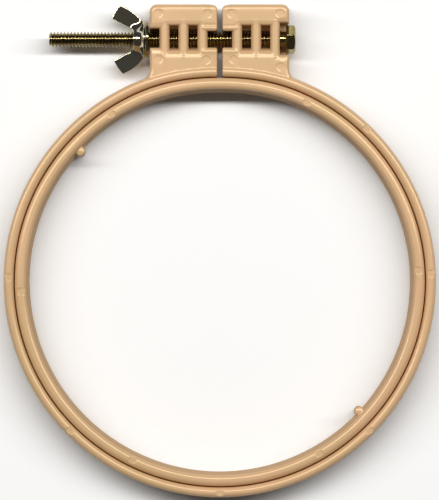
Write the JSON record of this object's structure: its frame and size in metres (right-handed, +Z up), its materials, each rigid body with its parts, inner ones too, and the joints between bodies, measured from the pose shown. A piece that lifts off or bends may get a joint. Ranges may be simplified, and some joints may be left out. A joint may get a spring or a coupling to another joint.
{
  "type": "embroidery hoop",
  "caption": "Round moulded embroidery hoop: a split outer ring with clamp lugs, an inner ring with small pegs, and a clamp screw with washer and wing nut.",
  "frame": {"origin": "under the middle of the bounding box, on the plane the hoop lies on", "axes": "+X along the clamp screw towards its hexagon head, +Y from the middle of the rings towards the clamp, +Z up from the back face to the front face"},
  "size_m": [0.1354, 0.1544, 0.012],
  "materials": {
    "hoop_plastic": "tan injection-moulded plastic, satin",
    "plated_hardware": "bright yellow metal, brass-plated or yellow-passivated"
  },
  "bodies": {
    "outer_ring_right": {"outer_ring_right": "hoop_plastic"},
    "outer_ring_left": {"outer_ring_left": "hoop_plastic"},
    "inner_ring": {"inner_ring": "hoop_plastic"},
    "clamp_screw": {"clamp_screw": "plated_hardware"},
    "washer": {"washer": "plated_hardware"},
    "wing_nut": {"wing_nut": "plated_hardware"}
  },
  "joints": [
    {"name": "ring_open", "type": "hinge", "parent": "outer_ring_right", "child": "outer_ring_left", "pos_m": [0, -0.0755, 0.006], "axis": [0, 0, 1], "range_deg": [0, 1.65]},
    {"name": "inner_ring_lift", "type": "slide", "parent": "outer_ring_right", "child": "inner_ring", "axis": [0, 0, 1], "range_m": [0, 0.03]},
    {"name": "screw_slide", "type": "slide", "parent": "outer_ring_right", "child": "clamp_screw", "axis": [-1, 0, 0], "range_m": [0, 0.0017]},
    {"name": "nut_travel", "type": "slide", "parent": "clamp_screw", "child": "washer", "axis": [-1, 0, 0], "range_m": [0, 0.00423]},
    {"name": "nut_spin", "type": "hinge", "parent": "washer", "child": "wing_nut", "pos_m": [-0.0234, 0.06637, 0.006], "axis": [-1, 0, 0], "range_deg": [0, 1440]}
  ],
  "couplings": [
    {"joint": "nut_spin", "follows": "nut_travel", "rad_per_m": 5936.9},
    {"joint": "ring_open", "follows": "nut_travel", "rad_per_m": 6.7652}
  ]
}
